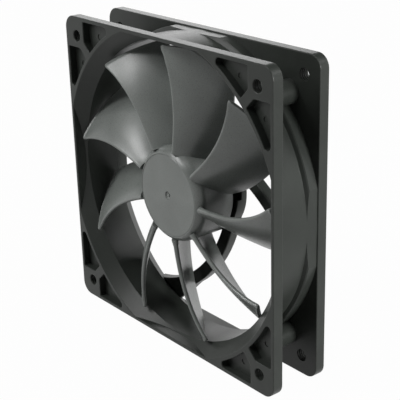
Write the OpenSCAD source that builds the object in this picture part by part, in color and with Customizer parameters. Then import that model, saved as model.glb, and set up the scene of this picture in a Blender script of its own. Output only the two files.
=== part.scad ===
// Axial case fan: a square moulded frame, a nine-blade impeller and the small
// brushless motor that sits inside its hub. Lengths are millimetres. The fan
// stands on its lower edge, with the intake face towards -Y and +Z up.

/* [Frame] */
// Width and height of the square frame
frame_size = 120; // [119.5:0.5:132]
// Depth of the frame, intake face to exhaust face
frame_depth = 25; // [24.5:0.5:38]
// Radius of the outer corners of both flanges
corner_r = 5; // [2:0.5:6.5]
// Thickness of the intake flange
front_flange = 4.4; // [3.4:0.1:5.5]
// Thickness of the exhaust flange
rear_flange = 4.2; // [3.4:0.1:5.5]
// Thin rail left between the mouth and the middle of each side
rail_wall = 1.4; // [1:0.1:1.9]
// Distance from the bore of the duct to the middle of each side
side_wall = 2; // [1.7:0.1:4]
// Wall of the duct between the flanges
duct_wall = 1.6; // [1.2:0.1:1.7]
// How far the sloped mouths open beyond the bore
mouth_step = 4.9; // [3:0.1:5.5]
// Depth of the sloped mouths
mouth_depth = 5.2; // [3:0.1:6]
// Width of the raised band around the duct, against the exhaust flange
band_width = 4.4; // [1:0.1:8]
// Height of the raised band above the duct wall
band_step = 1.6; // [0.6:0.1:3]
// How far the band stays inside the sides of the frame
band_inset = 0.5; // [0.2:0.1:1]

/* [Corners] */
// Distance of the screw holes from the sides of the frame
hole_edge = 7.5; // [7:0.1:10]
// Diameter of the screw holes
hole_d = 4.4; // [3:0.1:5]
// Depth of the corner pockets
pocket_depth = 3; // [1:0.1:3.2]
// Rim between a pocket and the outside of the flange
pocket_rim = 1.5; // [1:0.1:2.5]
// Wall between a pocket and the mouth
ring_wall = 1.5; // [0.8:0.1:2]
// Width of the diagonal web between two pockets
web_width = 4; // [2:0.1:5]
// Reach of the square pad from the screw hole towards the pockets
pad_reach = 4.7; // [4:0.1:6.5]
// Radius of the round end of a pocket
pocket_end_r = 1.6; // [0.8:0.1:2]
// Radius of the post that joins the flanges behind each web
post_r = 4.4; // [2:0.1:5]

/* [Struts and motor base] */
// Width of a strut
strut_width = 5.1; // [3:0.1:7]
// Depth of a strut
strut_depth = 4; // [2.5:0.1:5]
// Radius of the curve that a strut follows
strut_curve_r = 60.2; // [50:0.1:75]
// How far inside the edge of the motor base that curve begins
strut_inset = 3.9; // [2:0.1:5]
// Turn of the first strut about the fan's axis
strut_turn = -6.7; // [-45:0.1:45]
// Length of the foot where a strut meets the duct
foot_length = 11; // [6:0.5:14]
// How much wider that foot is than the strut
foot_width = 3.3; // [1:0.1:4]
// Wall of the motor base
base_wall = 1.5; // [1:0.1:2.5]
// Floor of the motor base, under the board
base_floor = 1.8; // [1:0.1:2.5]
// Gap between the back of the hub and the motor base
hub_gap = 2; // [0.6:0.1:3]
// Depth of the notch where the leads pass the base wall
notch_depth = 2.1; // [1:0.1:2.8]
// Width of that notch
notch_width = 5.2; // [2:0.1:8]
// Turn of that notch about the fan's axis
notch_turn = 2; // [-10:0.5:10]

/* [Impeller] */
// Number of blades
blade_count = 9; // [5:1:11]
// Gap between the blade tips and the duct
tip_gap = 1; // [0.5:0.1:3]
// Outside diameter of the hub
hub_d = 37; // [34:0.5:44]
// Length of the hub
hub_length = 16.4; // [15.6:0.1:19]
// Setback of the hub's face from the intake face
hub_setback = 2; // [1:0.1:4]
// Side wall of the hub
hub_wall = 1.5; // [1.2:0.1:2.5]
// Front wall of the hub
hub_face_wall = 1.5; // [1:0.1:2.5]
// Radius of the hub's front shoulder
shoulder_r = 2.3; // [1:0.1:2.5]
// Width and depth of the fine groove around the hub's face
face_groove = 0.3; // [0.1:0.05:0.5]
// Diameter of the gate mark at the middle of the hub's face
gate_d = 3.2; // [1:0.1:4]
// Setback of the blades' edges from the ends of the hub
blade_inset = 0.25; // [0:0.05:1]
// Thickness of a blade at the hub
blade_root_t = 1.8; // [1:0.1:2.5]
// Thickness of a blade at its tip
blade_tip_t = 1.5; // [0.8:0.1:2]
// Rounding of the leading corner of the tip
tip_corner = 1.6; // [1:0.1:5]
// Turn of the leading edge about the axis, at the hub, half way and at the tip
lead_turn = [0.3, 3.1, 11.7]; // [-5:0.1:15]
// Turn of the trailing edge about the axis, at the hub, half way and at the tip
trail_turn = [-33.5, -21.2, -11.1]; // [-45:0.1:-5]
// How early a blade bends towards the axis, at the hub and at the tip
camber = [0.22, 0.36]; // [0.05:0.01:0.5]

/* [Motor] */
// Diameter of the shaft
shaft_d = 3; // [2:0.1:4]
// Wall of the sleeve bearing
bearing_wall = 1.8; // [1:0.1:2.5]
// Wall of the brass tube that holds the bearing
tube_wall = 0.8; // [0.5:0.1:1.2]
// Wall of the steel yoke
yoke_wall = 0.9; // [0.6:0.1:1.2]
// Wall of the ring magnet
magnet_wall = 2.2; // [1.5:0.1:2.6]
// Length of the ring magnet
magnet_length = 10; // [7:0.1:11]
// Air gap between the magnet and the stator
air_gap = 0.4; // [0.3:0.05:0.8]
// Stack height of the stator laminations
core_length = 6; // [4:0.1:6.6]
// Width of a stator arm
arm_width = 4; // [3:0.1:5]
// Depth of a pole shoe
shoe_depth = 1.8; // [1.2:0.1:2.2]
// Arc covered by a pole shoe
shoe_arc = 70; // [50:1:78]
// Thickness of the insulator plates
insulator_t = 0.8; // [0.5:0.1:1]
// Build of a winding around its arm
winding_build = 1.6; // [1:0.1:1.8]
// Thickness of the circuit board
board_t = 1; // [0.8:0.1:1.6]
// Thickness of the label over the bearing
label_t = 0.25; // [0.1:0.05:0.4]

/* [Clearances] */
// Drawn gap of pressed and glued fits
fit_gap = 0.05; // [0.02:0.01:0.1]
// Radial gap between the shaft and its bearing
running_gap = 0.02; // [0.01:0.005:0.05]
// Axial gap between the parts that turn and the parts that don't
turn_gap = 0.4; // [0.3:0.05:0.6]

/* [Hidden] */
$fn = 96;
far = 400;
skin = 1;
half = frame_size / 2;
bore_r = half - side_wall;
duct_r = bore_r + duct_wall;
mouth_edge_r = bore_r + mouth_step;
ring_r = mouth_edge_r + ring_wall;
hole_at = half - hole_edge;
pad_at = hole_at - pad_reach;
rear_flange_at = frame_depth - rear_flange;

// Impeller and rotor, from the outside in
hub_r = hub_d / 2;
hub_rear = hub_setback + hub_length;
hub_in_r = hub_r - hub_wall;
hub_in_at = hub_setback + hub_face_wall;
tip_r = bore_r - tip_gap;
blade_front = hub_setback + blade_inset;
blade_rear = hub_rear - blade_inset;
blade_root_r = hub_in_r + 0.1;
yoke_r = hub_in_r - fit_gap;
yoke_in_r = yoke_r - yoke_wall;
yoke_in_at = hub_in_at + yoke_wall;
yoke_end = hub_rear - 1.9;
magnet_r = yoke_in_r - fit_gap;
magnet_in_r = magnet_r - magnet_wall;
magnet_at = yoke_end - 0.9 - magnet_length;
core_r = magnet_in_r - air_gap;
shaft_r = shaft_d / 2;
bush_r = shaft_r + 1.7;
bush_length = 1.5;

// Bearing and stator, around the shaft
bearing_in_r = shaft_r + running_gap;
bearing_r = bearing_in_r + bearing_wall;
tube_in_r = bearing_r + fit_gap;
tube_r = tube_in_r + tube_wall;
boss_in_r = tube_r + fit_gap;
boss_r = boss_in_r + 1.75;
core_hub_r = boss_in_r + 1.95;
shoe_in_r = core_r - shoe_depth;
coil_in_r = core_hub_r + 0.4;
coil_out_r = shoe_in_r - 0.4;
coil_half = arm_width / 2 + winding_build + 0.8;

// Depths of the stator stack, counted from the intake face
coil_at = yoke_in_at + 1.2;
insulator_at = coil_at + winding_build;
core_at = insulator_at + insulator_t;
core_end = core_at + core_length;
insulator_end = core_end + insulator_t;
coil_end = insulator_end + winding_build;
board_at = coil_end + 0.6;
board_end = board_at + board_t;
board_r = core_r - 0.4;
pin_r = 0.35;
pin_at = (core_hub_r + 0.9) / sqrt(2);
lead_hole_r = 0.6;
lead_hole_step = 9;

// Depths of the bearing stack, counted from the intake face
tube_at = hub_in_at + bush_length + turn_gap;
tube_end = frame_depth - label_t;
seal_at = tube_at + 0.2;
seal_t = 0.6;
slinger_at = seal_at + seal_t + turn_gap;
slinger_t = 0.4;
bearing_at = slinger_at + slinger_t + turn_gap;
plug_length = 2.65;
thrust_t = 0.8;
thrust_at = tube_end - plug_length - thrust_t;
shaft_end = thrust_at - turn_gap;
clip_t = 0.4;
clip_at = shaft_end - 1.7;
clip_neck_r = shaft_r * 0.8;
bearing_end = clip_at - turn_gap;

// Motor base
base_r = hub_r;
strut_offset = strut_curve_r - base_r + strut_inset;
strut_out_r = strut_curve_r + strut_width / 2;
strut_reach = mouth_edge_r + ring_wall / 2;
base_at = hub_rear + hub_gap;
base_floor_at = frame_depth - label_t - base_floor;
label_r = base_r - base_wall - 1.5;

// Points of a blade's mesh, along its span and its chord
blade_rings = 10;
blade_steps = 8;

frame_colour = "#2b2c2a";
impeller_colour = "#4a4b4a";
steel_colour = "#8f9194";
brass_colour = "#b08d4a";
bronze_colour = "#9a7446";
copper_colour = "#a8562a";
board_colour = "#1f5a36";
insulator_colour = "#d9d4c4";
part_black = "#1a1a1a";

// The fan's own axes: z runs along the axis towards the intake, 0 at the intake face
module in_fan() {
    translate([0, -frame_depth / 2, half]) rotate([90, 0, 0]) children();
}

// An outline drawn out from one depth to another
module between(front, rear) {
    translate([0, 0, -rear]) linear_extrude(rear - front) children();
}

module ring(outer, inner) {
    difference() {
        circle(outer);
        circle(inner);
    }
}

module wedge(arc) {
    polygon([[0, 0], far * [cos(arc / 2), -sin(arc / 2)], [far, 0], far * [cos(arc / 2), sin(arc / 2)]]);
}

module four_ways() {
    for (turn = [0 : 90 : 270]) rotate(turn) children();
}

module flange_outline() {
    square([frame_size, frame_size - 2 * corner_r], center = true);
    square([frame_size - 2 * corner_r, frame_size], center = true);
    four_ways() translate([half - corner_r, half - corner_r]) circle(corner_r);
}

// One of the two pockets beside a web: from the pad to a round end near the middle of the side
module pocket_outline() {
    edge = half - pocket_rim;
    end_x = edge - pocket_end_r;
    end_y = sqrt(pow(ring_r + pocket_end_r, 2) - pow(end_x, 2));
    intersection() {
        difference() {
            union() {
                translate([0, end_y]) square([edge, pad_at - end_y]);
                translate([end_x, end_y]) circle(pocket_end_r);
            }
            circle(ring_r);
        }
        rotate(45) translate([0, -far - web_width / 2]) square(far);
    }
}

module pockets(front, rear) {
    between(front, rear) four_ways() {
        pocket_outline();
        mirror([1, -1]) pocket_outline();
    }
}

// A sloped mouth, opening towards +z and kept inside the rails of the flange
module mouth() {
    intersection() {
        rotate_extrude() polygon([[0, -mouth_depth], [bore_r, -mouth_depth],
            [mouth_edge_r, 0], [mouth_edge_r, skin], [0, skin]]);
        translate([0, 0, -frame_depth]) linear_extrude(2 * frame_depth)
            square(frame_size - 2 * rail_wall, center = true);
    }
}

module duct_outside() {
    between(0, frame_depth) intersection() {
        circle(duct_r);
        square(frame_size, center = true);
    }
    between(rear_flange_at - band_width, rear_flange_at) intersection() {
        circle(duct_r + band_step);
        square(frame_size - 2 * band_inset, center = true);
    }
    between(0, frame_depth) four_ways() rotate(45) translate([ring_r, 0]) circle(post_r);
}

// Point at radius r on one of the curves that run along a strut
function strut_point(curve_r, r) =
    let (turn = acos((pow(curve_r, 2) + pow(strut_offset, 2) - pow(r, 2)) / (2 * curve_r * strut_offset)))
    [curve_r * cos(turn) - strut_offset, -curve_r * sin(turn)];

// The outer side of a strut widens towards the duct
module foot_outline() {
    start_r = bore_r - foot_length;
    end_width = foot_width * (strut_reach - start_r) / foot_length;
    polygon([strut_point(strut_out_r, start_r), strut_point(strut_out_r + foot_width, bore_r),
        strut_point(strut_out_r + end_width, strut_reach), strut_point(strut_curve_r, strut_reach),
        strut_point(strut_curve_r, start_r)]);
}

// A curved strut from the motor base out to the mouth
module strut_outline() {
    intersection() {
        translate([-strut_offset, 0]) ring(strut_out_r, strut_curve_r - strut_width / 2);
        translate([-far / 2, -far]) square(far);
        ring(strut_reach, base_r - base_wall / 2);
    }
    foot_outline();
}

module motor_base() {
    difference() {
        union() {
            between(base_at, frame_depth) ring(base_r, base_r - base_wall);
            between(base_floor_at, frame_depth) circle(base_r - base_wall / 2);
            between(board_end, base_floor_at + base_floor / 2) circle(boss_r);
        }
        between(board_end - skin, frame_depth + skin) circle(boss_in_r);
        between(tube_end, frame_depth + skin) circle(label_r + fit_gap);
        rotate(notch_turn) between(base_at - skin, base_at + notch_depth)
            translate([base_r - 2 * base_wall, -notch_width / 2]) square([3 * base_wall, notch_width]);
    }
}

module frame() {
    color(frame_colour) in_fan() {
        difference() {
            union() {
                between(0, front_flange) flange_outline();
                between(rear_flange_at, frame_depth) flange_outline();
                duct_outside();
            }
            between(-skin, frame_depth + skin) circle(bore_r);
            mouth();
            translate([0, 0, -frame_depth]) mirror([0, 0, 1]) mouth();
            between(-skin, frame_depth + skin) four_ways() translate([hole_at, hole_at]) circle(d = hole_d);
            pockets(-skin, pocket_depth);
            pockets(frame_depth - pocket_depth, frame_depth + skin);
        }
        between(frame_depth - strut_depth, frame_depth) intersection() {
            four_ways() rotate(strut_turn) strut_outline();
            square(frame_size - rail_wall, center = true);
        }
        motor_base();
    }
}

module bearing_tube() {
    color(brass_colour) in_fan() between(tube_at, tube_end) ring(tube_r, tube_in_r);
}

module sleeve_bearing() {
    color(bronze_colour) in_fan() between(bearing_at, bearing_end) ring(bearing_r, bearing_in_r);
}

module oil_seal() {
    color(part_black) in_fan() between(seal_at, seal_at + seal_t) ring(bearing_r, shaft_r + turn_gap);
}

module thrust_plate() {
    color(insulator_colour) in_fan() between(thrust_at, thrust_at + thrust_t) circle(bearing_r);
}

module bearing_plug() {
    color(part_black) in_fan() between(tube_end - plug_length, tube_end) circle(bearing_r);
}

module bearing_label() {
    color("#c9c9c7") in_fan() between(tube_end, frame_depth) circle(label_r);
}

// Outline shared by the laminations and the insulators: a hub, four arms and their shoes
module stator_outline(outer, inner, arc) {
    difference() {
        union() {
            circle(core_hub_r);
            four_ways() {
                translate([0, -arm_width / 2]) square([inner + shoe_depth / 3, arm_width]);
                intersection() {
                    ring(outer, inner);
                    wedge(arc);
                }
            }
        }
        circle(boss_in_r);
    }
}

module stator_core() {
    color(steel_colour) in_fan() between(core_at, core_end) stator_outline(core_r, shoe_in_r, shoe_arc);
}

// Upright lips on the shoes that keep a winding on its arm
module winding_lips(front, rear) {
    between(front, rear) four_ways() intersection() {
        ring(core_r - 0.4, shoe_in_r + 0.4);
        wedge(shoe_arc - 8);
    }
}

module front_insulator() {
    color(insulator_colour) in_fan() {
        between(insulator_at, core_at) stator_outline(core_r - 0.3, shoe_in_r + 0.3, shoe_arc - 6);
        winding_lips(coil_at, insulator_at);
    }
}

module pin_places() {
    four_ways() translate([pin_at, pin_at]) children();
}

module rear_insulator() {
    color(insulator_colour) in_fan() {
        difference() {
            union() {
                between(core_end, insulator_end) stator_outline(core_r - 0.3, shoe_in_r + 0.3, shoe_arc - 6);
                between(core_end, insulator_end) pin_places() circle(4 * pin_r - 0.2);
                between(core_end, board_at) ring(core_hub_r, boss_in_r);
            }
            between(core_end - skin, board_at + skin) pin_places() circle(pin_r + fit_gap);
        }
        winding_lips(insulator_end, coil_end);
    }
}

module windings() {
    color(copper_colour) in_fan() four_ways() difference() {
        between(coil_at, coil_end) intersection() {
            translate([coil_in_r, -coil_half]) square([coil_out_r - coil_in_r, 2 * coil_half]);
            circle(coil_out_r);
        }
        between(insulator_at - fit_gap, insulator_end + fit_gap) translate([0, -arm_width / 2 - fit_gap])
            square([coil_out_r + skin, arm_width + 2 * fit_gap]);
    }
}

module winding_pins() {
    color(steel_colour) in_fan() between(core_end + 0.1, board_end + 0.8) pin_places() circle(pin_r);
}

module circuit_board() {
    color(board_colour) in_fan() between(board_at, board_end) difference() {
        ring(board_r, boss_in_r);
        pin_places() circle(pin_r + 2 * fit_gap);
        for (lead = [-1.5 : 1 : 1.5]) rotate(notch_turn + lead * lead_hole_step)
            translate([board_r - 1.6, 0]) circle(lead_hole_r);
    }
}

// A flat part soldered to one side of the board
module board_part(turn, reach, size, front, rear) {
    between(front, rear) rotate(turn) translate([reach, 0]) square(size, center = true);
}

module driver_chip() {
    color(part_black) in_fan() board_part(45, board_r - 2, [3, 3.6], board_at - 1.2, board_at);
}

module capacitors() {
    color("#b89a6a") in_fan() for (turn = [140, 165])
        board_part(turn, board_r - 3, [2, 1.3], board_end, board_end + 1.1);
}

module resistors() {
    color(part_black) in_fan() for (turn = [205, 225, 245])
        board_part(turn, board_r - 3, [1.6, 0.8], board_end, board_end + 0.5);
}

// Value at a share of the span, from values at the hub, half way and at the tip
function along(v, s) = v[0] * (1 - s) * (1 - 2 * s) + 4 * v[1] * s * (1 - s) + v[2] * s * (2 * s - 1);
function mix(a, b, s) = a + (b - a) * s;
function degrees_at(length, r) = length / r * 180 / PI;
function share(r) = (r - hub_r) / (tip_r - hub_r);

// The leading corner of the tip is rounded off
function corner_cut(r) = let (x = max(0, (r - tip_r + tip_corner) / tip_corner))
    tip_corner * (1 - sqrt(1 - x * x));
function lead_at(r) = along(lead_turn, share(r)) - degrees_at(corner_cut(r), r);
function trail_at(r) = along(trail_turn, share(r));
function bend(k, u) = 2 * u * (1 - u) * k + u * u;
function bend_rate(k, u) = 2 * k * (1 - 2 * u) + 2 * u;
function half_thickness(r, u) = mix(blade_root_t, blade_tip_t, share(r)) / 2 * sqrt(1 - pow(2 * u - 1, 6));

// A point of the blade's skin: u runs from the leading to the trailing edge, side is 1 or -1
function blade_point(r, u, side) = let (
        k = mix(camber[0], camber[1], share(r)),
        chord = trail_at(r) - lead_at(r),
        along_turn = r * chord * PI / 180,
        along_axis = (blade_rear - blade_front) * bend_rate(k, u),
        h = side * half_thickness(r, u) / norm([along_turn, along_axis]),
        turn = lead_at(r) + chord * u + degrees_at(h * along_axis, r),
        depth = mix(blade_front, blade_rear, bend(k, u)) - h * along_turn)
    [r * cos(turn), r * sin(turn), -depth];

function step_share(i) = (1 - cos(180 * i / blade_steps)) / 2;
function ring_radius(i) = mix(blade_root_r, tip_r, 1 - pow(1 - i / blade_rings, 1.5));

module blade() {
    loop = 2 * blade_steps;
    points = [for (i = [0 : blade_rings], j = [0 : loop - 1])
        j <= blade_steps ? blade_point(ring_radius(i), step_share(j), 1)
            : blade_point(ring_radius(i), step_share(loop - j), -1)];
    skin_faces = [for (i = [0 : blade_rings - 1], j = [0 : loop - 1])
        let (a = i * loop + j, b = i * loop + (j + 1) % loop)
        each [[a, b, a + loop], [b, b + loop, a + loop]]];
    // Each end is closed by a strip of triangles between its two sides
    end_faces = [for (end = [0, 1], j = [0 : blade_steps - 1])
        let (
            first = end * blade_rings * loop,
            near = [first + j, first + (loop - j) % loop],
            far_side = [first + j + 1, first + loop - j - 1])
        each [for (f = [[near[0], near[1], far_side[0]], [near[1], far_side[1], far_side[0]]])
            if (f[0] != f[1] && f[1] != f[2]) end == 0 ? f : [f[2], f[1], f[0]]]];
    polyhedron(points, concat(skin_faces, end_faces));
}

module hub() {
    difference() {
        rotate_extrude() difference() {
            union() {
                translate([0, -hub_rear]) square([hub_r, hub_length - shoulder_r]);
                translate([0, -hub_setback - shoulder_r]) square([hub_r - shoulder_r, shoulder_r]);
                translate([hub_r - shoulder_r, -hub_setback - shoulder_r]) circle(shoulder_r);
            }
            translate([-far, -far]) square([far, 2 * far]);
            translate([hub_r - shoulder_r - face_groove, -hub_setback - face_groove])
                square([face_groove, face_groove + skin]);
        }
        between(hub_in_at, hub_rear + skin) circle(hub_in_r);
        between(hub_setback - skin, hub_setback + face_groove) circle(d = gate_d);
    }
}

module impeller() {
    color(impeller_colour) in_fan() {
        hub();
        for (k = [0 : blade_count - 1]) rotate(k * 360 / blade_count) blade();
    }
}

module rotor_yoke() {
    color(steel_colour) in_fan() {
        between(hub_in_at, yoke_in_at) ring(yoke_r, bush_r + fit_gap);
        between(hub_in_at, yoke_end) ring(yoke_r, yoke_in_r);
    }
}

module ring_magnet() {
    color("#3b3b3d") in_fan() between(magnet_at, magnet_at + magnet_length) ring(magnet_r, magnet_in_r);
}

module shaft_bush() {
    color(brass_colour) in_fan() between(hub_in_at, hub_in_at + bush_length) ring(bush_r, shaft_r + fit_gap);
}

module shaft() {
    color(steel_colour) in_fan() {
        between(hub_in_at, clip_at) circle(shaft_r);
        between(clip_at, clip_at + clip_t) circle(clip_neck_r);
        between(clip_at + clip_t, shaft_end) circle(shaft_r);
    }
}

module oil_slinger() {
    color(part_black) in_fan() between(slinger_at, slinger_at + slinger_t)
        ring(bearing_r - turn_gap, shaft_r + fit_gap);
}

module retaining_clip() {
    color(steel_colour) in_fan() between(clip_at + fit_gap, clip_at + clip_t - fit_gap) difference() {
        ring(bearing_r - turn_gap, clip_neck_r + fit_gap);
        translate([0, -clip_neck_r / 2]) square([far, clip_neck_r]);
    }
}

frame();
bearing_tube();
sleeve_bearing();
oil_seal();
thrust_plate();
bearing_plug();
stator_core();
front_insulator();
rear_insulator();
windings();
winding_pins();
circuit_board();
driver_chip();
capacitors();
resistors();
bearing_label();
impeller();
rotor_yoke();
ring_magnet();
shaft_bush();
shaft();
oil_slinger();
retaining_clip();
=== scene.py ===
"""Looks of a 120 mm axial case fan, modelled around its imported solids."""

import math

import bmesh
import bpy
from mathutils import Euler, Matrix, Vector


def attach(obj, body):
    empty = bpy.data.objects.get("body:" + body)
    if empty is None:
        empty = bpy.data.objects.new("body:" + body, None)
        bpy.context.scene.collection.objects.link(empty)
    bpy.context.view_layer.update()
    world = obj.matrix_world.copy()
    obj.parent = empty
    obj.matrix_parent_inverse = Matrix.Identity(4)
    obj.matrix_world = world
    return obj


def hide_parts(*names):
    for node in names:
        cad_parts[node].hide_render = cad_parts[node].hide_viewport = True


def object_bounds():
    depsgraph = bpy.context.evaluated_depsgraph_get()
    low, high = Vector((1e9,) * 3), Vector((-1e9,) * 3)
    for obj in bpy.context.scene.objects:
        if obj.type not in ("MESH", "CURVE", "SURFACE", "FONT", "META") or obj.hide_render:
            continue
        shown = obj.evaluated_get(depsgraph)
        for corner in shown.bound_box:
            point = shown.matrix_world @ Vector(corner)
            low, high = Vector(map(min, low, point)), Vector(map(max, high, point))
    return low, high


bl_info = {
    "name": "Case fan",
    "version": (1, 0, 0),
    "blender": (4, 5, 0),
    "location": "3D View > Sidebar > Case fan",
    "description": "Models a square case fan and its nine-blade impeller, with finishes, light and camera",
    "category": "Object",
}

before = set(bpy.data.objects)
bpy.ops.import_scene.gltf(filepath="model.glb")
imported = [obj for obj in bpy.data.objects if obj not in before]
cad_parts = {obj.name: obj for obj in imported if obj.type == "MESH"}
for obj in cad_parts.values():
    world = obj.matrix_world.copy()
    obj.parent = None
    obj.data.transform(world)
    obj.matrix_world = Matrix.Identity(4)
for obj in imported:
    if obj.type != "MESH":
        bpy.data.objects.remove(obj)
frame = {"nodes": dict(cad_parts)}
CAD_BOX = [list(corner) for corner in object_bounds()]
LOW, HIGH = (Vector(corner) for corner in CAD_BOX)

MM = 0.001
# How far a cutter stands out of the face that it opens
SKIN = 1 * MM
# Steps of a full turn on the large rounds
TURN_STEPS = 192
# Points this close are merged
MERGED = 1e-7
# Ends of an edge that differ by less than this lie on one level, or on one line along the axis
LEVEL = 1e-6


def length(name, description, millimetres):
    return bpy.props.FloatProperty(
        name=name, description=description, default=millimetres * MM, unit="LENGTH", precision=5)


def angle(name, description, degrees):
    return bpy.props.FloatProperty(
        name=name, description=description, default=math.radians(degrees), subtype="ANGLE")


def three_angles(name, description, degrees):
    return bpy.props.FloatVectorProperty(
        name=name, description=description, default=[math.radians(turn) for turn in degrees], subtype="EULER")


def colour(name, description, code):
    return bpy.props.StringProperty(name=name, description=description, default=code)


class FanFrameSizes(bpy.types.PropertyGroup):
    width: bpy.props.FloatProperty(
        name="Width", description="Width and height of the square frame",
        default=HIGH.x - LOW.x, unit="LENGTH", precision=5)
    depth: bpy.props.FloatProperty(
        name="Depth", description="Depth of the frame, intake face to exhaust face",
        default=HIGH.y - LOW.y, unit="LENGTH", precision=5)
    corner: length("Corner", "Radius of the outer corners of both flanges", 5)
    front_flange: length("Intake flange", "Thickness of the intake flange", 4.4)
    rear_flange: length("Exhaust flange", "Thickness of the exhaust flange", 4.2)
    rail: length("Rail", "Thin rail between the mouth and the middle of a side", 1.4)
    side_wall: length("Side wall", "Distance from the bore to the middle of a side", 2)
    duct_wall: length("Duct wall", "Wall of the duct between the flanges", 1.6)
    mouth_step: length("Mouth step", "How far the sloped mouths open beyond the bore", 4.9)
    mouth_depth: length("Mouth depth", "Depth of the sloped mouths", 5.2)
    band_width: length("Band width", "Width of the raised band around the duct", 4.4)
    band_step: length("Band height", "Height of that band above the duct wall", 1.6)
    band_slope: length("Band slope", "Length of the slope from the duct wall up to that band", 1.2)
    band_inset: length("Band inset", "How far the band stays inside the sides", 0.5)
    rim: length("Edge rounding", "Rounding of the moulded edges", 0.35)
    hole_edge: length("Hole to side", "Distance of the screw holes from the sides", 7.5)
    hole: length("Screw hole", "Diameter of the screw holes", 4.4)
    hole_ridge: length("Thread marks", "Depth of the ridges that screws have cut in the holes", 0.14)
    hole_pitch: length("Thread pitch", "Spacing of those ridges", 0.9)
    pocket_depth: length("Pocket depth", "Depth of the corner pockets", 3)
    pocket_rim: length("Pocket rim", "Rim between a pocket and the outside", 1.5)
    pocket_corner: length("Pocket corner", "Rounding of the upright corners of a pocket", 0.5)
    pocket_end: length("Pocket end", "Radius of the round end of a pocket", 1.6)
    ring_wall: length("Ring wall", "Wall between a pocket and the mouth", 1.5)
    web: length("Web", "Width of the diagonal web between two pockets", 4)
    pad: length("Pad", "Reach of the pad from the screw hole to the pockets", 4.7)
    pin_mark: length("Ejector mark", "Diameter of the ejector mark in a pocket", 2.2)
    pin_depth: length("Mark depth", "Depth of that mark", 0.25)
    pin_to_rim: length("Mark to rim", "Distance of that mark from the rim of the pocket", 5.2)
    pin_to_pad: length("Mark to pad", "Distance of that mark from the pad", 6.8)
    post: length("Post", "Radius of the posts between the flanges", 4.4)
    strut_width: length("Strut width", "Width of a strut", 5.1)
    strut_depth: length("Strut depth", "Depth of a strut", 4)
    strut_curve: length("Strut curve", "Radius of the curve that a strut follows", 60.2)
    strut_inset: length("Strut inset", "Start of that curve inside the motor base", 3.9)
    strut_edge: length("Strut edge", "Rounding of the edges that face the blades", 0.6)
    strut_turn: angle("Strut turn", "Turn of the first strut about the axis", -6.7)
    foot_length: length("Foot length", "Length of the foot where a strut meets the duct", 11)
    foot_width: length("Foot width", "How much wider that foot is than the strut", 3.3)
    base_radius: length("Motor base", "Outside radius of the motor base", 18.5)
    base_wall: length("Base wall", "Wall of the motor base", 1.5)
    base_front: length("Base front", "Depth of the base's rim behind the intake face", 20.4)
    base_floor: length("Base floor", "Thickness of the base's floor", 1.8)
    base_fillet: length("Base fillet", "Fillet around the base's floor", 0.4)
    boss_front: length("Boss front", "Depth of the boss that carries the board", 18)
    boss_radius: length("Boss", "Outside radius of the boss", 5.97)
    boss_bore: length("Boss bore", "Radius of the bore for the bearing tube", 4.22)
    label_recess: length("Label recess", "Depth of the recess for the label", 0.25)
    label_radius: length("Label", "Radius of that recess", 15.55)
    notch_width: length("Lead notch", "Width of the notch for the leads", 5.2)
    notch_depth: length("Notch depth", "Depth of that notch", 2.1)
    notch_turn: angle("Notch turn", "Turn of that notch about the axis", 2)


class ImpellerSizes(bpy.types.PropertyGroup):
    blades: bpy.props.IntProperty(name="Blades", description="Number of blades", default=9, min=3)
    hub_radius: length("Hub", "Outside radius of the hub", 18.5)
    hub_front: length("Hub setback", "Setback of the hub's face from the intake face", 2)
    hub_rear: length("Hub rear", "Depth of the hub's open end", 18.4)
    hub_wall: length("Hub wall", "Side and front wall of the hub", 1.5)
    hub_edge: length("Hub edge", "Rounding of the hub's open end", 0.3)
    face_radius: length("Face", "Radius of the hub's flat face", 16.3)
    shoulder: length("Shoulder", "Length of the rounded shoulder behind the face", 4)
    groove: length("Face groove", "Width of the fine groove around the face", 0.3)
    gate: length("Gate mark", "Diameter of the gate mark at the middle of the face", 3.2)
    gate_depth: length("Gate depth", "Depth of the gate mark", 0.6)
    tip_radius: length("Blade tip", "Radius of the blade tips", 57)
    blade_front: length("Blade front", "Depth of the leading edges", 2.35)
    blade_rear: length("Blade rear", "Depth of the trailing edges", 18.15)
    root_thickness: length("Root thickness", "Thickness of a blade at the hub", 1.8)
    tip_thickness: length("Tip thickness", "Thickness of a blade at its tip", 1.5)
    root_flare: length("Root flare", "Flare of a blade where it meets the hub", 0.9)
    tip_corner: length("Tip corner", "Rounding of the leading corner of the tip", 1.6)
    edge: length("Tip edge", "Bevel along the edge of the tip", 0.3)
    lead_turn: three_angles(
        "Leading edge", "Turn of the leading edge at the hub, half way and at the tip",
        (0.3, 3.1, 11.7))
    trail_turn: three_angles(
        "Trailing edge", "Turn of the trailing edge at the hub, half way and at the tip",
        (-33.5, -21.2, -11.1))
    bend: bpy.props.FloatVectorProperty(
        name="Bend", description="How early a blade bends towards the axis, at the hub and at the tip",
        default=(0.22, 0.36), size=2, min=0, max=1)


class FanColours(bpy.types.PropertyGroup):
    frame: colour("Frame", "Black moulded plastic of the frame", "#2d302d")
    impeller: colour("Impeller", "Dark grey moulded plastic of the impeller", "#6b6f6c")
    floor: colour("Floor", "Painted floor and backdrop, which the camera sees as white", "#8a8a89")


# Materials


def linear(code):
    """Linear colour, with alpha, of an sRGB hex code."""
    parts = [int(code[i:i + 2], 16) / 255 for i in (1, 3, 5)]
    return [c / 12.92 if c <= 0.04045 else ((c + 0.055) / 1.055) ** 2.4 for c in parts] + [1]


def add(tree, kind, links=(), values=(), **settings):
    """Add a node with its settings, its linked inputs and its fixed inputs."""
    node = tree.nodes.new(kind)
    for name, value in settings.items():
        setattr(node, name, value)
    for socket, value in dict(values).items():
        node.inputs[socket].default_value = value
    for socket, source in dict(links).items():
        tree.links.new(source, node.inputs[socket])
    return node


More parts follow.
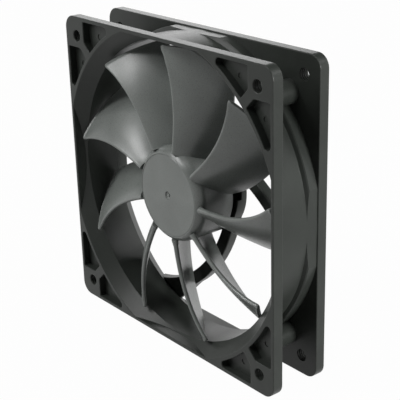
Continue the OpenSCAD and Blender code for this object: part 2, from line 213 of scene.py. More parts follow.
def blank(name):
    """A new material with only its shader, and the object coordinates that its patterns read."""
    material = bpy.data.materials.new(name)
    material.use_nodes = True
    tree = material.node_tree
    place = add(tree, "ShaderNodeTexCoord").outputs["Object"]
    return material, tree, tree.nodes["Principled BSDF"], place


def per_mm(millimetres):
    """Texture scale that gives a grain of this size."""
    return 1 / (millimetres * MM)


def shaded(tree, shader, colour_from, rough_from, height_from, strength, depth):
    """Let a pattern give the shader its colour, its roughness and a relief of this depth in millimetres."""
    bump = add(tree, "ShaderNodeBump", {"Height": height_from},
               {"Strength": strength, "Distance": depth * MM})
    tree.links.new(colour_from, shader.inputs["Base Color"])
    tree.links.new(rough_from, shader.inputs["Roughness"])
    tree.links.new(bump.outputs["Normal"], shader.inputs["Normal"])


def moulded_plastic(name, code, grain, rough, sheen, depth, cloud):
    """Moulded plastic: a fine spark-eroded grain, a faint cloudiness from the flow of the melt,
    and a satin sheen that is a little glossier where the grain is low."""
    material, tree, shader, place = blank(name)
    base = linear(code)
    darkest, lightest = 0.88, 1.12
    # Nearly all of the noise lies between these two values
    low, high = 0.3, 0.7
    fine = add(tree, "ShaderNodeTexNoise", {"Vector": place},
               {"Scale": per_mm(grain), "Detail": 3, "Roughness": 0.6})
    flow = add(tree, "ShaderNodeTexNoise", {"Vector": place},
               {"Scale": per_mm(cloud), "Detail": 2, "Roughness": 0.5, "Distortion": 0.6})
    tint = add(tree, "ShaderNodeValToRGB", {"Fac": flow.outputs["Fac"]})
    for stop, position, share in zip(tint.color_ramp.elements, (low, high), (darkest, lightest)):
        stop.position = position
        stop.color = [c * share for c in base[:3]] + [1]
    speck = add(tree, "ShaderNodeMapRange", {"Value": fine.outputs["Fac"]},
                {"From Min": low, "From Max": high, "To Min": 0.9, "To Max": 1.1})
    mixed = add(tree, "ShaderNodeVectorMath",
                {0: tint.outputs["Color"], "Scale": speck.outputs["Result"]}, operation="SCALE")
    gloss = add(tree, "ShaderNodeMapRange", {"Value": fine.outputs["Fac"]},
                {"From Min": low, "From Max": high, "To Min": rough - 0.05, "To Max": rough + 0.07})
    shaded(tree, shader, mixed.outputs["Vector"], gloss.outputs["Result"], fine.outputs["Fac"],
           strength=0.35, depth=depth)
    shader.inputs["IOR"].default_value = 1.5
    shader.inputs["Specular IOR Level"].default_value = sheen
    return material


def speckled(name, code, second, grain, rough, metallic=0.0, ior=1.5):
    """A solid of two shades in fine grains: sintered metal, ferrite, rubber, ceramic or filled plastic."""
    material, tree, shader, place = blank(name)
    cells = add(tree, "ShaderNodeTexVoronoi", {"Vector": place}, {"Scale": per_mm(grain), "Randomness": 1})
    pattern = cells.outputs["Distance"]
    shade = add(tree, "ShaderNodeValToRGB", {"Fac": pattern})
    shade.color_ramp.elements[0].color = linear(second)
    shade.color_ramp.elements[1].position = 0.55
    shade.color_ramp.elements[1].color = linear(code)
    gloss = add(tree, "ShaderNodeMapRange", {"Value": pattern},
                {"To Min": rough + 0.1, "To Max": rough - 0.05})
    shaded(tree, shader, shade.outputs["Color"], gloss.outputs["Result"], pattern,
           strength=0.4, depth=0.02)
    shader.inputs["Metallic"].default_value = metallic
    if not metallic:
        shader.inputs["IOR"].default_value = ior
    return material


def lined(name, code, second, spacing, rough, metallic=1.0, direction="Y", wander=0.4, depth=0.02):
    """A surface with fine lines across one direction, which are rings where that is the fan's axis:
    drawn, ground or brushed metal, stacked sheets, weave, or wire laid side by side."""
    material, tree, shader, place = blank(name)
    # At a scale of 1, a wave texture repeats every pi / 10
    repeat = 0.314
    lines = add(tree, "ShaderNodeTexWave", {"Vector": place},
                {"Scale": repeat * per_mm(spacing), "Distortion": wander, "Detail": 2, "Detail Scale": 1.5},
                wave_type="BANDS", bands_direction=direction, wave_profile="SIN")
    pattern = lines.outputs["Fac"]
    shade = add(tree, "ShaderNodeValToRGB", {"Fac": pattern})
    shade.color_ramp.elements[0].color = linear(second)
    shade.color_ramp.elements[1].color = linear(code)
    gloss = add(tree, "ShaderNodeMapRange", {"Value": pattern},
                {"To Min": rough + 0.08, "To Max": rough - 0.04})
    shaded(tree, shader, shade.outputs["Color"], gloss.outputs["Result"], pattern,
           strength=0.5, depth=depth)
    shader.inputs["Metallic"].default_value = metallic
    return material


# Shapes, in the fan's own axes: z runs along the axis towards the intake, 0 at the intake face


def outward(bm):
    """Turn the faces of a closed solid outwards."""
    bmesh.ops.recalc_face_normals(bm, faces=bm.faces)
    if bm.calc_volume(signed=True) < 0:
        bmesh.ops.reverse_faces(bm, faces=bm.faces)
    return bm


def turned(profile, closed=False, steps=TURN_STEPS):
    """A solid turned from a profile of radius and depth."""
    bm = bmesh.new()
    verts = [bm.verts.new((radius, 0, -depth)) for radius, depth in profile]
    edges = [bm.edges.new(pair) for pair in zip(verts, verts[1:])]
    if closed:
        edges.append(bm.edges.new((verts[-1], verts[0])))
    bmesh.ops.spin(bm, geom=verts + edges, cent=(0, 0, 0), axis=(0, 0, 1),
                   angle=2 * math.pi, steps=steps, use_merge=True)
    bmesh.ops.remove_doubles(bm, verts=bm.verts, dist=MERGED)
    return outward(bm)


def disc(radius, front, rear, steps=TURN_STEPS):
    return turned([(0, front), (radius, front), (radius, rear), (0, rear)], steps=steps)


def shifted(bm, x, y=0, depth=0):
    """Move a shape to the side, up and deeper into the fan."""
    bmesh.ops.translate(bm, vec=(x, y, -depth), verts=bm.verts)
    return bm


def block(low, high):
    """A box between two corners, each x, y and depth."""
    bm = bmesh.new()
    bmesh.ops.create_cube(bm, size=1)
    bmesh.ops.scale(bm, vec=[far - near for near, far in zip(low, high)], verts=bm.verts)
    return shifted(bm, *[(far + near) / 2 for near, far in zip(low, high)])


def corners(bm, least_turn=0.5):
    """Edges along the axis where two walls meet at a clear angle."""
    return [edge for edge in bm.edges
            if (edge.verts[0].co - edge.verts[1].co).to_2d().length < LEVEL
            and edge.calc_length() > LEVEL and edge.calc_face_angle(0) > least_turn]


def rims(bm, depth=None, least_turn=1.2):
    """Edges around the flat ends of an upright shape, or around the end at one depth."""
    return [edge for edge in bm.edges
            if abs(edge.verts[0].co.z - edge.verts[1].co.z) < LEVEL and edge.calc_face_angle(0) > least_turn
            and (depth is None or abs(edge.verts[0].co.z + depth) < LEVEL)]


def rounded(bm, edges, radius, segments=3):
    bmesh.ops.bevel(bm, geom=edges, offset=radius, offset_type="OFFSET", affect="EDGES",
                    segments=segments, profile=0.5, material=-1)
    return bm


def plain(bm, sliver=0.04 * MM, flat=math.radians(0.2)):
    """Join the flat faces that a cut has split, and close the slivers where two curves touch."""
    bmesh.ops.remove_doubles(bm, verts=bm.verts, dist=sliver)
    bmesh.ops.dissolve_degenerate(bm, dist=sliver, edges=bm.edges)
    bmesh.ops.dissolve_limit(bm, angle_limit=flat, verts=bm.verts, edges=bm.edges)
    return bm


def flared(bm, rim, steps=3):
    """Widen the open end of an upright cutter, which starts one rim deep, so that it leaves a round edge."""
    face = max(bm.faces, key=lambda each: each.calc_center_median().z)
    wide = 0
    for step in range(1, steps + 2):
        turn = math.pi / 2 / steps * min(step, steps)
        wider = rim * (1 - math.cos(turn))
        face = bmesh.ops.extrude_discrete_faces(bm, faces=[face])["faces"][0]
        push = []
        for loop in face.loops:
            before = (loop.vert.co - loop.link_loop_prev.vert.co).to_2d().normalized()
            after = (loop.link_loop_next.vert.co - loop.vert.co).to_2d().normalized()
            out = Vector((before.y + after.y, -before.x - after.x)) / (1 + before.dot(after))
            push.append((loop.vert, out.to_3d() * (wider - wide)))
        for vert, out in push:
            vert.co += out
            vert.co.z = SKIN if step > steps else -rim * (1 - math.sin(turn))
        wide = wider
    return outward(bm)


def moved(bm, *matrices):
    """Copies of a solid, one for each matrix, in one mesh."""
    source = bpy.data.meshes.new("copy")
    bm.to_mesh(source)
    bm.clear()
    for matrix in matrices:
        start = len(bm.verts)
        bm.from_mesh(source)
        bm.verts.ensure_lookup_table()
        bmesh.ops.transform(bm, matrix=matrix, verts=bm.verts[start:])
    bpy.data.meshes.remove(source)
    return outward(bm)


def turns(count, start=0.0):
    """Equal turns about the axis."""
    return [Matrix.Rotation(start + i * 2 * math.pi / count, 4, "Z") for i in range(count)]


def combine(base, tool, operation):
    """One closed solid joined with, cut by or kept inside another."""
    solids = []
    for bm in (base, tool):
        mesh = bpy.data.meshes.new("step")
        bm.to_mesh(mesh)
        bm.free()
        solids.append(bpy.data.objects.new("step", mesh))
        bpy.context.scene.collection.objects.link(solids[-1])
    step = solids[0].modifiers.new("step", "BOOLEAN")
    step.object = solids[1]
    step.operation = operation
    step.solver = "MANIFOLD"
    result = bmesh.new()
    result.from_object(solids[0], bpy.context.evaluated_depsgraph_get())
    for solid in solids:
        bpy.data.meshes.remove(solid.data)
    if not result.faces:
        raise RuntimeError("a step of the modelling left nothing")
    return result


def placed(bm, name, material):
    """The smooth object of a finished shape, in the scene."""
    mesh = bpy.data.meshes.new(name)
    bm.to_mesh(mesh)
    bm.free()
    mesh.shade_smooth()
    mesh.materials.append(material)
    obj = bpy.data.objects.new(name, mesh)
    bpy.context.scene.collection.objects.link(obj)
    return obj


def piece(bm, name, body, node, material, crease):
    """Put a finished solid in the fan's place, creased from this angle, and let it stand for its node."""
    sizes = bpy.context.scene.fan_frame
    centre = Matrix.Translation((0, -sizes.depth / 2, sizes.width / 2))
    bmesh.ops.transform(bm, verts=bm.verts, matrix=centre @ Matrix.Rotation(math.pi / 2, 4, "X"))
    obj = placed(bm, name, material)
    obj.data.set_sharp_from_angle(angle=math.radians(crease))
    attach(obj, body)
    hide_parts(node)


class FAN_OT_frame(bpy.types.Operator):
    """Model the moulded frame: flanges, duct, corner pockets, struts and motor base"""

    bl_idname = "fan.frame"
    bl_label = "Frame"

    def execute(self, context):
        sizes = context.scene.fan_frame
        half = sizes.width / 2
        bore = half - sizes.side_wall
        mouth_edge = bore + sizes.mouth_step
        ring = mouth_edge + sizes.ring_wall
        rear_at = sizes.depth - sizes.rear_flange
        lap = sizes.front_flange / 2

        # Flanges, the duct between them, its band and the four posts, which all lap into the flanges
        body = combine(self.flange(sizes, half, 0, sizes.front_flange),
                       self.flange(sizes, half, rear_at, sizes.depth), "UNION")
        outside = bore + sizes.duct_wall
        body = combine(body, disc(outside, lap, sizes.depth - lap), "UNION")
        body = combine(body, self.band(sizes, half, outside, rear_at, rear_at + lap), "UNION")
        post = shifted(disc(sizes.post, lap, sizes.depth - lap, steps=64), ring)
        body = combine(body, moved(post, *turns(4, math.pi / 4)), "UNION")

        # The bore and the sloped mouth at each end
        body = combine(body, disc(bore, -SKIN, sizes.depth + SKIN), "DIFFERENCE")
        stay = Matrix.Identity(4)
        back = Matrix.Translation((0, 0, -sizes.depth)) @ Matrix.Diagonal((1, 1, -1, 1))
        body = combine(body, moved(self.mouth(sizes, half, bore, mouth_edge), stay, back), "DIFFERENCE")

        # Corner pockets on both faces and the screw holes
        swap = Matrix(((0, 1, 0, 0), (1, 0, 0, 0), (0, 0, 1, 0), (0, 0, 0, 1)))
        places = [turn @ flip for turn in turns(4) for flip in (stay, swap)]
        pockets = moved(self.pocket(sizes, half, ring), *places, *[back @ place for place in places])
        body = combine(body, pockets, "DIFFERENCE")
        hole_at = half - sizes.hole_edge
        hole = shifted(self.hole(sizes), hole_at, hole_at)
        body = combine(body, moved(hole, *turns(4)), "DIFFERENCE")

        # The motor base, and the struts from the middle of its wall out to the rails
        body = combine(body, self.motor_base(sizes), "UNION")
        struts = moved(self.strut(sizes, ring - sizes.ring_wall / 2, bore), *turns(4, sizes.strut_turn))
        side = half - sizes.rail / 2
        beyond = 2 * sizes.depth
        struts = combine(struts, block((-side, -side, 0), (side, side, beyond)), "INTERSECT")
        struts = combine(struts, disc(sizes.base_radius - sizes.base_wall / 2, 0, beyond), "DIFFERENCE")
        body = combine(body, struts, "UNION")
        piece(body, "fan_frame", "housing", "frame", frame_plastic(), crease=12)
        return {"FINISHED"}

    def flange(self, sizes, half, front, rear):
        bm = block((-half, -half, front), (half, half, rear))
        rounded(bm, corners(bm), sizes.corner, segments=14)
        return rounded(bm, rims(bm), sizes.rim)

    def band(self, sizes, half, outside, rear_at, end):
        """The raised band in front of the exhaust flange, with a slope up to it, kept inside the sides."""
        top = outside + sizes.band_step
        slope_at = rear_at - sizes.band_width
        half_slope = sizes.band_slope / 2
        bm = turned([(0, slope_at - half_slope), (outside - sizes.rim, slope_at - half_slope),
                     (top - sizes.rim, slope_at + half_slope - sizes.rim), (top, slope_at + half_slope),
                     (top, end), (0, end)])
        side = half - sizes.band_inset
        return combine(bm, block((-side, -side, 0), (side, side, sizes.depth)), "INTERSECT")

    def mouth(self, sizes, half, bore, mouth_edge):
        """The cutter of a sloped mouth, kept inside the rails."""
        # The edge is blunted by shares of the rim: out along the face, then in and down along the slope
        wide = mouth_edge + 0.43 * sizes.rim
        blunted = (mouth_edge - 0.3 * sizes.rim, 0.31 * sizes.rim)
        bm = turned([(0, -SKIN), (wide, -SKIN), (wide, 0), blunted,
                     (bore, sizes.mouth_depth), (0, sizes.mouth_depth)])
        rail = half - sizes.rail
        square = block((-rail, -rail, sizes.rim), (rail, rail, sizes.depth / 2))
        return combine(bm, flared(square, sizes.rim), "INTERSECT")

    def pocket(self, sizes, half, ring):
        """The pocket beside a web, from the pad to its round end, with an ejector mark in its floor."""
        edge = half - sizes.pocket_rim
        pad_at = half - sizes.hole_edge - sizes.pad
        end_x = edge - sizes.pocket_end
        end_y = math.sqrt((ring + sizes.pocket_end) ** 2 - end_x ** 2)
        touch_y = end_y * ring / (ring + sizes.pocket_end)
        top, floor = sizes.rim, sizes.pocket_depth
        bm = combine(block((half / 2, touch_y, top), (end_x, pad_at, floor)),
                     block((end_x - sizes.web, end_y, top), (edge, pad_at, floor)), "UNION")
        end = shifted(disc(sizes.pocket_end, top, floor, steps=40), end_x, end_y)
        bm = combine(bm, end, "UNION")
        bm = combine(bm, disc(ring, -SKIN, 2 * floor, steps=180), "DIFFERENCE")
        beside = block((0, -sizes.width, -SKIN), (sizes.width, -sizes.web / 2, sizes.depth))
        bm = combine(bm, moved(beside, Matrix.Rotation(math.pi / 4, 4, "Z")), "INTERSECT")
        plain(bm)
        rounded(bm, corners(bm), sizes.pocket_corner)
        flared(bm, sizes.rim)
        mark = disc(sizes.pin_mark / 2, top, floor + sizes.pin_depth, steps=32)
        shifted(mark, edge - sizes.pin_to_rim, pad_at - sizes.pin_to_pad)
        return combine(bm, mark, "UNION")

    def hole(self, sizes):
        """A screw hole with rounded ends and the ridges that screws have cut in it."""
        radius, rim, pitch = sizes.hole / 2, sizes.rim, sizes.hole_pitch
        wide = radius + rim
        # Half way round its edge, a rounded end lies this far from the wall and from the face
        half_way = 0.3 * rim
        end = [(0, -SKIN), (wide, -SKIN), (wide, 0), (radius + half_way, half_way), (radius, rim)]
        crest = radius + sizes.hole_ridge
        crest_at, foot_at = 0.45 * pitch, 0.9 * pitch
        ridges = []
        for i in range(int((sizes.depth - 4 * rim) / pitch)):
            start = 2 * rim + i * pitch
            ridges += [(radius, start), (crest, start + crest_at), (radius, start + foot_at)]
        far_end = [(across, sizes.depth - depth) for across, depth in reversed(end)]
        return turned(end + ridges + far_end, steps=40)

    def strut(self, sizes, reach, bore):
        """A curved bar with rounded edges, from inside the motor base out to its wider foot at the mouth."""
        offset = sizes.strut_curve + sizes.strut_inset - sizes.base_radius

        def turn_at(curve, radius):
            """Turn about the curve's middle at which it reaches a radius of the fan."""
            return math.acos((curve ** 2 + offset ** 2 - radius ** 2) / (2 * curve * offset))

        bm = bmesh.new()
        bmesh.ops.create_grid(bm, x_segments=1, y_segments=1, size=0.5)
        bmesh.ops.scale(bm, vec=(sizes.strut_width, sizes.strut_depth, 1), verts=bm.verts)
        bmesh.ops.bevel(bm, geom=[vert for vert in bm.verts if vert.co.y > 0], offset=sizes.strut_edge,
                        offset_type="OFFSET", affect="VERTICES", segments=3, profile=0.5, material=-1)
        bmesh.ops.rotate(bm, cent=(0, 0, 0), matrix=Matrix.Rotation(math.pi / 2, 3, "X"), verts=bm.verts)
        shifted(bm, sizes.strut_curve - offset, 0, sizes.depth - sizes.strut_depth / 2)
        bmesh.ops.spin(bm, geom=bm.faces[:], cent=(-offset, 0, 0), axis=(0, 0, 1),
                       angle=-turn_at(sizes.strut_curve, reach), steps=48)
        bmesh.ops.contextual_create(bm, geom=[edge for edge in bm.edges if edge.is_boundary])
        outward(bm)

        outer = sizes.strut_curve + sizes.strut_width / 2
        start = bore - sizes.foot_length
        wide = sizes.foot_width * (reach - start) / sizes.foot_length
        foot = bmesh.new()
        outline = []
        for curve, radius in ((outer, start), (outer + sizes.foot_width, bore), (outer + wide, reach),
                              (sizes.strut_curve, reach), (sizes.strut_curve, start)):
            turn = turn_at(curve, radius)
            x, y = curve * math.cos(turn) - offset, -curve * math.sin(turn)
            outline.append(foot.verts.new((x, y, -sizes.depth)))
        face = foot.faces.new(outline)
        raised = bmesh.ops.extrude_face_region(foot, geom=[face])["geom"]
        bmesh.ops.translate(foot, vec=(0, 0, sizes.strut_depth),
                            verts=[item for item in raised if isinstance(item, bmesh.types.BMVert)])
        rounded(outward(foot), rims(foot, sizes.depth - sizes.strut_depth), sizes.strut_edge)
        return combine(bm, foot, "UNION")

    def motor_base(self, sizes):
        """The cup behind the hub, with the boss for the bearing tube and the notch for the leads."""
        radius, wall, front = sizes.base_radius, sizes.base_wall, sizes.base_front
        rim, fillet = sizes.rim, sizes.base_fillet
        label_at = sizes.depth - sizes.label_recess
        floor = label_at - sizes.base_floor
        inside = radius - wall
        bm = turned([
            (sizes.boss_bore, sizes.boss_front), (sizes.boss_radius, sizes.boss_front),
            (sizes.boss_radius, floor - fillet), (sizes.boss_radius + fillet, floor),
            (inside - fillet, floor), (inside, floor - fillet),
            (inside, front + rim / 2), (inside + rim / 2, front),
            (radius - rim, front), (radius, front + rim),
            (radius, sizes.depth), (sizes.label_radius, sizes.depth),
            (sizes.label_radius, label_at), (sizes.boss_bore, label_at)], closed=True)
        notch = block((radius - 2 * wall, -sizes.notch_width / 2, front - SKIN),
                      (radius + wall, sizes.notch_width / 2, front + sizes.notch_depth))
        return combine(bm, moved(notch, Matrix.Rotation(sizes.notch_turn, 4, "Z")), "DIFFERENCE")


class FAN_OT_impeller(bpy.types.Operator):
    """Model the impeller: the hub and its swept blades, in one moulding"""

    bl_idname = "fan.impeller"
    bl_label = "Impeller"

    def execute(self, context):
        sizes = context.scene.fan_impeller
        body = combine(self.hub(sizes), moved(self.blade(sizes), *turns(sizes.blades)), "UNION")
        piece(body, "fan_impeller", "rotor", "impeller", impeller_plastic(), crease=32)
        return {"FINISHED"}

    def hub(self, sizes):
        """A cup with a crisp face, a rounded shoulder, a fine groove around the face and a gate mark."""
        radius, face, rear, edge = sizes.hub_radius, sizes.hub_front, sizes.hub_rear, sizes.hub_edge
        inside = radius - sizes.hub_wall

        # Shares of the gate mark's radius and depth: a small stub is left where the runner broke off
        gate_shares = ((0, 0.4), (0.35, 0.45), (0.42, 1), (0.75, 0.9), (0.95, 0.3), (1, 0))
        gate = [(out * (sizes.gate / 2), face + down * sizes.gate_depth) for out, down in gate_shares]

        # Shares of the groove's width, inwards from the edge of the face and down
        groove_shares = ((2, 0), (1.5, 0.5), (1, 0.5), (0.7, 0))
        groove = [(sizes.face_radius - inwards * sizes.groove, face + down * sizes.groove)
                  for inwards, down in groove_shares]

        # The shoulder's arc ends along the hub's side and starts at an angle to its face
        step = radius - sizes.face_radius
        arc = (step ** 2 + sizes.shoulder ** 2) / (2 * step)
        first = math.asin((arc - step) / arc)
        segments = 10
        shoulder = []
        for i in range(segments + 1):
            turn = first + (math.pi / 2 - first) * i / segments
            shoulder.append((radius - arc + arc * math.sin(turn),
                             face + sizes.shoulder - arc * math.cos(turn)))

        return turned([
            *gate, *groove, *shoulder, (radius, rear - edge), (radius - edge, rear),
            (inside + edge, rear), (inside, rear - edge), (inside, face + sizes.hub_wall),
            (0, face + sizes.hub_wall)])

    def blade(self, sizes):
        """A grid wrapped round a blunt-nosed section with a thin tail, from inside the hub to the tip."""
        around, rows = 56, 28
        root = sizes.hub_radius - sizes.hub_wall / 2
        span = sizes.tip_radius - sizes.edge - root

        # Each row has a radius and its share of the bevel, or None where it closes the blade;
        # the rows are crowded towards the tip, where the last ones bevel its edge
        last, crowding = rows - 4, 1.5
        stations = [(root, None)]
        stations += [(root + span * (1 - (1 - i / last) ** crowding), 0) for i in range(last + 1)]
        stations += [(sizes.tip_radius - 0.3 * sizes.edge, 0.7),
                     (sizes.tip_radius, 1), (sizes.tip_radius, None)]

        bm = bmesh.new()
        bmesh.ops.create_grid(bm, x_segments=around, y_segments=rows, size=1)
        for vert in bm.verts:
            radius, bevel = stations[round((vert.co.y + 1) / 2 * rows)]
            vert.co = self.skin(sizes, radius, bevel, (vert.co.x + 1) / 2)
        bmesh.ops.remove_doubles(bm, verts=bm.verts, dist=MERGED)
        return outward(bm)

    def skin(self, sizes, radius, bevel, loop):
        """A point of the blade: loop goes from the leading edge along one side and back along the other."""
        out = (radius - sizes.hub_radius) / (sizes.tip_radius - sizes.hub_radius)
        back = (1 - math.cos(2 * math.pi * loop)) / 2
        side = 1 if loop <= 0.5 else -1

        def along(three):
            """Turn on the curve through the turns at the hub, half way and at the tip."""
            hub, middle, tip = three
            return hub * (1 - out) * (1 - 2 * out) + 4 * middle * out * (1 - out) + tip * out * (2 * out - 1)

        # The two edges, and the bent line between them
        corner = max(0, (radius - sizes.tip_radius + sizes.tip_corner) / sizes.tip_corner)
        cut = sizes.tip_corner * (1 - math.sqrt(max(0, 1 - corner * corner)))
        lead = along(sizes.lead_turn) - cut / radius
        chord = along(sizes.trail_turn) - lead
        bend = sizes.bend[0] + (sizes.bend[1] - sizes.bend[0]) * out
        travel = sizes.blade_rear - sizes.blade_front
        across, axial = radius * chord, travel * (2 * bend * (1 - 2 * back) + 2 * back)
        run = math.hypot(across, travel)

        # Half thickness: full behind the blunt nose, thinner towards the tail, flared at the root
        thinned, thin_from = 0.35, 0.35
        half = (sizes.root_thickness + (sizes.tip_thickness - sizes.root_thickness) * out) / 2
        near = min(1, max(0, 1 - (radius - sizes.hub_radius) / sizes.root_flare))
        half += sizes.root_flare / 2 * near * near
        tail = 1 - thinned * max(0, (back - thin_from) / (1 - thin_from)) ** 2
        nose = min(1, back * run / half)
        end = min(1, (1 - back) * run / (half * (1 - thinned)))
        aside = half * tail * math.sqrt(max(0, 1 - (1 - nose) ** 2)) * math.sqrt(max(0, 1 - (1 - end) ** 2))
        aside = 0 if bevel is None else max(0, aside - sizes.edge * bevel)

        # The point lies that far from the bent line, on its side of the blade
        aside *= side / math.hypot(across, axial)
        turn = lead + chord * back + aside * axial / radius
        depth = sizes.blade_front + travel * (2 * back * (1 - back) * bend + back * back) - aside * across
        return radius * math.cos(turn), radius * math.sin(turn), -depth


def frame_plastic():
    # Glass-filled PBT, moulded black: satin, with a grain of about 0.1 mm that is drawn at 0.35 mm to show
    return moulded_plastic("moulded_black_pbt", bpy.context.scene.fan_colours.frame,
                           grain=0.35, rough=0.36, sheen=0.22, depth=0.03, cloud=14)


def impeller_plastic():
    # PBT, moulded dark grey: smoother than the frame, so that light slides along the blades
    return moulded_plastic("moulded_grey_pbt", bpy.context.scene.fan_colours.impeller,
                           grain=0.3, rough=0.3, sheen=0.5, depth=0.02, cloud=18)


class FAN_OT_motor(bpy.types.Operator):
    """Give every solid of the motor its finish"""

    bl_idname = "fan.motor"
    bl_label = "Motor finishes"

    def execute(self, context):
        # Drawn brass: warm yellow with fine rings
        self.finish(lined("drawn_brass", "#c9a35a", "#a8803c", spacing=0.25, rough=0.3),
                    "bearing_tube", "shaft_bush")
        # Sintered bronze: brown-gold grains with dark pores full of oil
        self.finish(speckled("sintered_bronze", "#a5793f", "#5a3f1e", grain=0.3, rough=0.42, metallic=0.9),
                    "sleeve_bearing")
        # Nitrile rubber: matt black with a faint bloom
        self.finish(speckled("nitrile_rubber", "#1e1e1d", "#121212", grain=0.5, rough=0.72),
                    "oil_seal", "bearing_plug")
        # Acetal: creamy white and slightly waxy
        self.finish(speckled("moulded_acetal", "#e4dfd2", "#d3cdbc", grain=0.8, rough=0.38, ior=1.48),
                    "thrust_plate")
        # Silicon steel sheets of 0.5 mm, pressed in a stack whose edges show as lines
        self.finish(lined("stacked_silicon_steel", "#8d9196", "#4c4f53", spacing=0.5, rough=0.4, wander=0.1),
                    "stator_core")
        # Nylon: cream, with a satin mould finish
        self.finish(speckled("moulded_nylon", "#dcd5bf", "#c9c1a8", grain=0.6, rough=0.45),
                    "front_insulator", "rear_insulator")
        # Enamelled copper wire of 0.3 mm, laid side by side
        self.finish(lined("enamelled_copper", "#b4592a", "#5f2610", spacing=0.3, rough=0.3,
                          direction="Z", wander=0.2, depth=0.08),
                    "windings")
        # Tinned brass: pale grey, soft shine
        self.finish(lined("tinned_brass", "#c8c8c4", "#a4a49f", spacing=0.2, rough=0.35),
                    "winding_pins")
        # Glass-epoxy laminate under green solder resist: the weave shows as faint lines
        self.finish(lined("solder_resist_laminate", "#1f5c39", "#17482c", spacing=0.7, rough=0.35,
                          metallic=0.0, direction="X"),
                    "circuit_board")
        # Epoxy moulding compound: dull black with fine silica
        self.finish(speckled("epoxy_package", "#232324", "#161617", grain=0.25, rough=0.6),
                    "driver_chip", "resistors")
        # Barium titanate ceramic: tan, fine-grained
        self.finish(speckled("tan_ceramic", "#b8935f", "#94713f", grain=0.2, rough=0.55),
                    "capacitors")
        # Bare aluminium foil: brushed, pale grey
        self.finish(lined("brushed_foil", "#c4c5c4", "#b1b2b2", spacing=0.3, rough=0.38,
                          metallic=0.85, direction="X", wander=1.5),
                    "bearing_label")
        # Zinc-plated deep-drawn steel: grey with faint rings
        self.finish(lined("drawn_zinc_steel", "#a4a7aa", "#85888c", spacing=0.35, rough=0.35),
                    "rotor_yoke")
        # Bonded ferrite: charcoal, dusty
        self.finish(speckled("bonded_ferrite", "#2d2c2b", "#1d1c1b", grain=0.3, rough=0.68),
                    "ring_magnet")
        # Ground steel: bright, with fine grinding rings
        self.finish(lined("ground_steel", "#d2d4d6", "#b9bbbe", spacing=0.15, rough=0.2),
                    "shaft")
        # Acetal, dyed black: slightly glossy
        self.finish(speckled("black_acetal", "#262626", "#1a1a1a", grain=0.6, rough=0.4),
                    "oil_slinger", "retaining_clip")
        # The two replaced solids have the finish of the pieces that stand for them
        self.finish(bpy.data.materials["moulded_black_pbt"], "frame")
        self.finish(bpy.data.materials["moulded_grey_pbt"], "impeller")
        return {"FINISHED"}

    def finish(self, material, *nodes):
        for name in nodes:
            mesh = frame["nodes"][name].data
            mesh.materials.clear()
            mesh.materials.append(material)


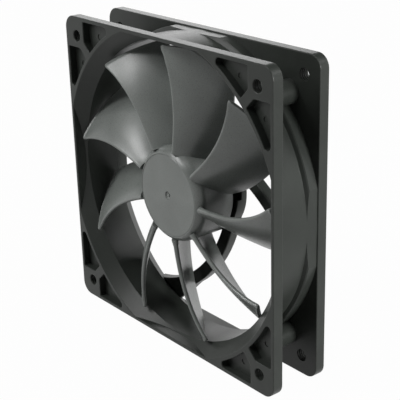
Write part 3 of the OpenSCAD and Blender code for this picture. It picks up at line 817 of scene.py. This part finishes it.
class FAN_OT_stage(bpy.types.Operator):
    """Set the floor and backdrop, the soft light and the camera"""

    bl_idname = "fan.stage"
    bl_label = "Stage"

    def execute(self, context):
        self.backdrop(context)
        self.lamps(context)
        self.camera(context)
        context.scene.view_settings.view_transform = "Standard"
        return {"FINISHED"}

    def backdrop(self, context):
        """A round floor that curves up into a low wall, under a dim surround."""
        flat, bend, wall, segments = 1.6, 0.4, 0.9, 8
        sweep = []
        for i in range(segments + 1):
            turn = math.pi / 2 / segments * i
            sweep.append((flat + bend * math.sin(turn), bend * math.cos(turn) - bend))
        profile = [(0, 0), *sweep, (flat + bend, -wall)]
        placed(turned(profile, steps=96), "floor", self.paint(context))

        world = bpy.data.worlds.new("surround")
        context.scene.world = world
        world.use_nodes = True
        world.node_tree.nodes["Background"].inputs["Color"].default_value = (1, 1, 1, 1)
        world.node_tree.nodes["Background"].inputs["Strength"].default_value = 0.02

    def paint(self, context):
        # Matt emulsion paint: grey to the fan, so that little light comes back from it. The camera and
        # reflections see it as white, with the fan's shadow faintly in it.
        material, tree, shader, place = blank("painted_floor")
        base = linear(context.scene.fan_colours.floor)
        fine = add(tree, "ShaderNodeTexNoise", {"Vector": place}, {"Scale": per_mm(6), "Detail": 2})
        shade = add(tree, "ShaderNodeMapRange", {"Value": fine.outputs["Fac"]},
                    {"To Min": 0.985, "To Max": 1.0})
        tint = add(tree, "ShaderNodeVectorMath", {"Scale": shade.outputs["Result"]}, {0: base[:3]},
                   operation="SCALE")
        tree.links.new(tint.outputs["Vector"], shader.inputs["Base Color"])
        shader.inputs["Roughness"].default_value = 0.8
        white = add(tree, "ShaderNodeEmission", (), {"Color": (1, 1, 1, 1), "Strength": 1})
        ray = add(tree, "ShaderNodeLightPath")
        seen = ray.outputs["Is Camera Ray"]
        for kind in ("Is Glossy Ray", "Is Transmission Ray"):
            either = add(tree, "ShaderNodeMath", {0: seen, 1: ray.outputs[kind]}, operation="MAXIMUM")
            seen = either.outputs[0]
        white_share = 0.98
        share = add(tree, "ShaderNodeMath", {0: seen}, {1: white_share}, operation="MULTIPLY")
        mixed = add(tree, "ShaderNodeMixShader",
                    {0: share.outputs[0], 1: shader.outputs["BSDF"], 2: white.outputs["Emission"]})
        tree.links.new(mixed.outputs[0], tree.nodes["Material Output"].inputs["Surface"])
        return material

    def lamps(self, context):
        """Soft boxes, each by its elevation, azimuth, size and power: four in front, one above,
        one at the side, and two behind that catch the upper edges."""
        boxes = {
            "key": (47, 231, 0.3, 3.6),
            "front": (40, 250, 0.3, 3),
            "low_front": (25, 235, 0.3, 3),
            "high_front": (55, 265, 0.3, 1.4),
            "top": (75, 300, 0.4, 1.1),
            "right": (12, 8, 0.35, 14),
            "back_right": (42, 40, 0.5, 4.2),
            "back": (20, 142, 0.5, 1.5),
        }
        distance = 1.2
        target = Vector((0, 0, context.scene.fan_frame.width / 2))
        for name, (elevation, azimuth, size, power) in boxes.items():
            lamp = bpy.data.lights.new(name, "AREA")
            lamp.shape = "DISK"
            lamp.size = size
            lamp.energy = power
            obj = bpy.data.objects.new(name, lamp)
            context.scene.collection.objects.link(obj)
            turn = Euler((0, -math.radians(elevation), math.radians(azimuth))).to_matrix()
            aim = turn @ Vector((distance, 0, 0))
            facing = (-aim).to_track_quat("-Z", "Y").to_matrix().to_4x4()
            obj.matrix_world = Matrix.Translation(target + aim) @ facing

    def camera(self, context):
        """The photograph's viewpoint: in front, to the right and a little above."""
        place = (0.2965, -0.2318, 0.2014)
        view = Vector((-0.7286, 0.5816, -0.3618))
        up = Vector((-0.2655, 0.2472, 0.9319))
        right = view.cross(up).normalized()
        up = right.cross(view).normalized()
        turn = Matrix((right, up, -view.normalized())).transposed()
        lens = bpy.data.cameras.new("camera")
        lens.lens = 95.6
        lens.sensor_width = 36
        lens.clip_start = 0.01
        camera = bpy.data.objects.new("camera", lens)
        camera.matrix_world = Matrix.Translation(place) @ turn.to_4x4()
        context.scene.collection.objects.link(camera)
        context.scene.camera = camera


GROUPS = {"fan_frame": FanFrameSizes, "fan_impeller": ImpellerSizes, "fan_colours": FanColours}
OPERATORS = (FAN_OT_frame, FAN_OT_impeller, FAN_OT_motor, FAN_OT_stage)


class FAN_PT_sidebar(bpy.types.Panel):
    """Sizes, colours and building steps of the case fan"""

    bl_label = "Case fan"
    bl_space_type = "VIEW_3D"
    bl_region_type = "UI"
    bl_category = "Case fan"

    def draw(self, context):
        for group_name, group in GROUPS.items():
            box = self.layout.box()
            for name in group.__annotations__:
                box.prop(getattr(context.scene, group_name), name)
        for step in OPERATORS:
            self.layout.operator(step.bl_idname)


def register():
    for name, group in GROUPS.items():
        bpy.utils.register_class(group)
        setattr(bpy.types.Scene, name, bpy.props.PointerProperty(type=group))
    for item in (*OPERATORS, FAN_PT_sidebar):
        bpy.utils.register_class(item)


def unregister():
    for item in (FAN_PT_sidebar, *reversed(OPERATORS)):
        bpy.utils.unregister_class(item)
    for name, group in GROUPS.items():
        delattr(bpy.types.Scene, name)
        bpy.utils.unregister_class(group)


def main():
    register()
    bpy.ops.fan.frame()
    bpy.ops.fan.impeller()
    bpy.ops.fan.motor()
    bpy.ops.fan.stage()


if __name__ == "__main__":
    main()
